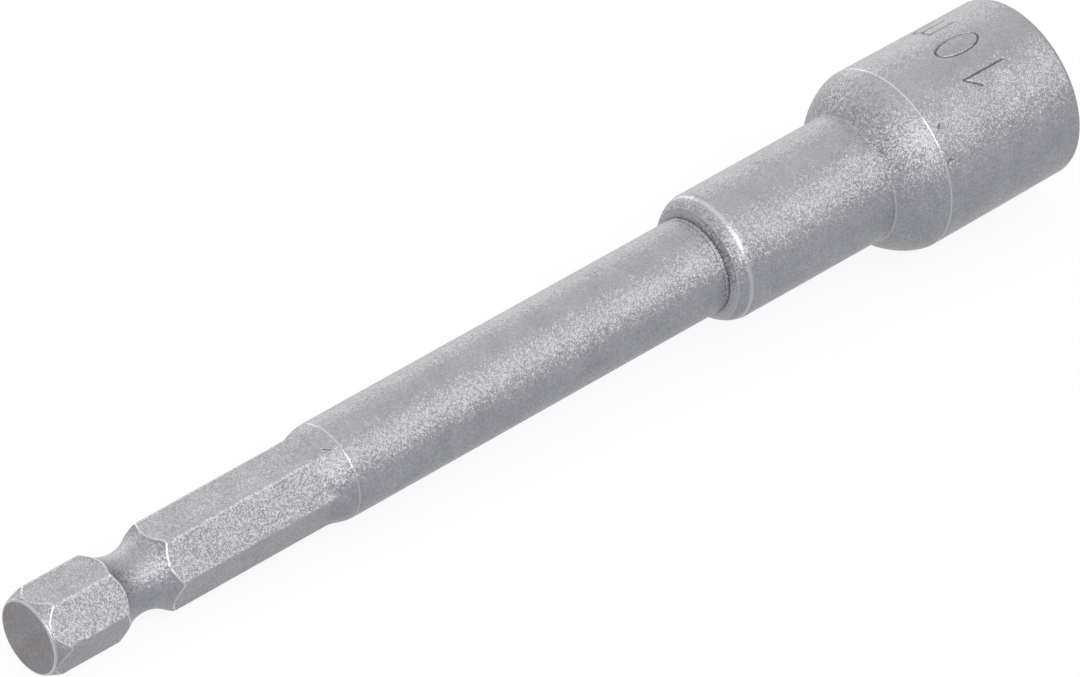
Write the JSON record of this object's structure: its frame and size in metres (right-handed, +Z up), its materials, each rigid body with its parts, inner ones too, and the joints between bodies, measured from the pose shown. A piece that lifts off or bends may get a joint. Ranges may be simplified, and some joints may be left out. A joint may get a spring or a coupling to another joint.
{
  "type": "hex-shank deep socket",
  "caption": "Long bead-blasted steel nut-driving socket on a quarter-inch hex shank with a ball groove; a spring-loaded magnet inside gives way to long threads.",
  "frame": {"origin": "centre of the shank's end face", "axes": "+X along the tool from the drive shank to the socket's mouth, +Z up and square to a flat of each hexagon"},
  "size_m": [0.1, 0.0152, 0.0152],
  "materials": {
    "blasted_steel": "bead-blasted and satin nickel-plated alloy steel",
    "ring_steel": "phosphated spring steel",
    "cup_steel": "turned, zinc-plated mild steel",
    "magnet_plating": "bright nickel plating over a sintered magnet",
    "spring_steel": "drawn spring wire"
  },
  "bodies": {
    "driver": {"drive_shank": "blasted_steel", "socket_body": "blasted_steel", "retaining_ring": "ring_steel", "magnet_spring": "spring_steel"},
    "magnet_carrier": {"magnet_cup": "cup_steel", "magnet": "magnet_plating"}
  },
  "joints": [
    {"name": "magnet_slide", "type": "slide", "parent": "driver", "child": "magnet_carrier", "axis": [-1, 0, 0], "range_m": [0, 0.004], "stiffness_N_per_m": 300, "springref_m": -0.0035, "deforming": ["magnet_spring"]}
  ]
}
